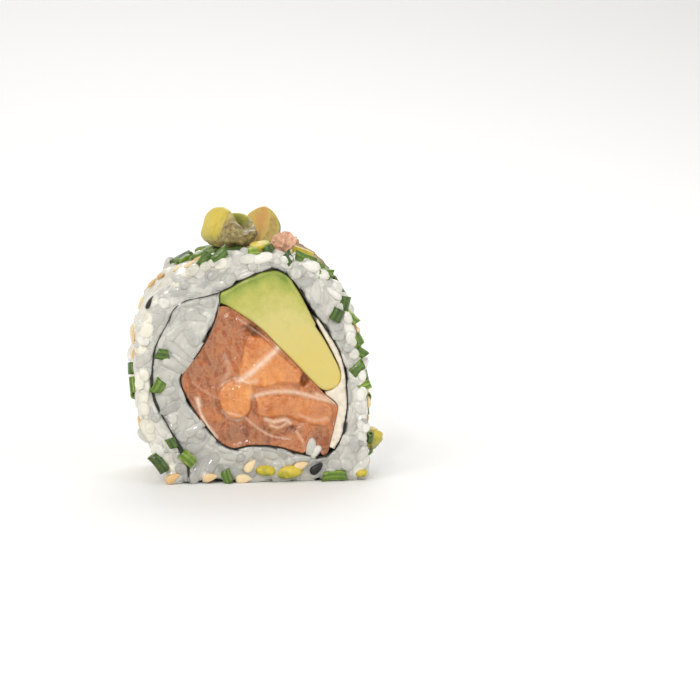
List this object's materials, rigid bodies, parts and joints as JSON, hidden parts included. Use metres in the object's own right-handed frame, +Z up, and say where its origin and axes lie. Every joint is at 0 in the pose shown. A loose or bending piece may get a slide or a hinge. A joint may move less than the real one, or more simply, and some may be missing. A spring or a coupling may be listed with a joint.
{
  "type": "philadelphia roll",
  "caption": "One piece of an inside-out sushi roll with salmon, avocado and cream cheese, topped with pistachios, chives and sesame seeds.",
  "frame": {"origin": "on the flat underside, below the middle of the roll", "axes": "+Z up, Y along the roll with the shown cut face towards -Y, +X to the right of that face"},
  "size_m": [0.0513, 0.0293, 0.0548],
  "materials": {
    "rice": "moist, translucent cooked rice",
    "nori": "damp dark seaweed",
    "salmon": "wet raw salmon with white fat lines",
    "avocado": "smooth, faintly oily avocado, green to yellow",
    "cream_cheese": "soft cream cheese",
    "pistachio": "yellow-green pistachio kernel",
    "pistachio_skin": "papery pink-brown pistachio skin"
  },
  "bodies": {
    "root": {"rice": "rice", "nori": "nori", "salmon": "salmon", "avocado": "avocado", "cream_cheese": "cream_cheese", "pistachio_open": "pistachio", "pistachio_cut": "pistachio", "pistachio_skinned": "pistachio_skin", "pistachio_slice": "pistachio", "pistachio_skin": "pistachio_skin", "pistachio_chip": "pistachio", "pistachio_side": "pistachio"}
  },
  "joints": []
}
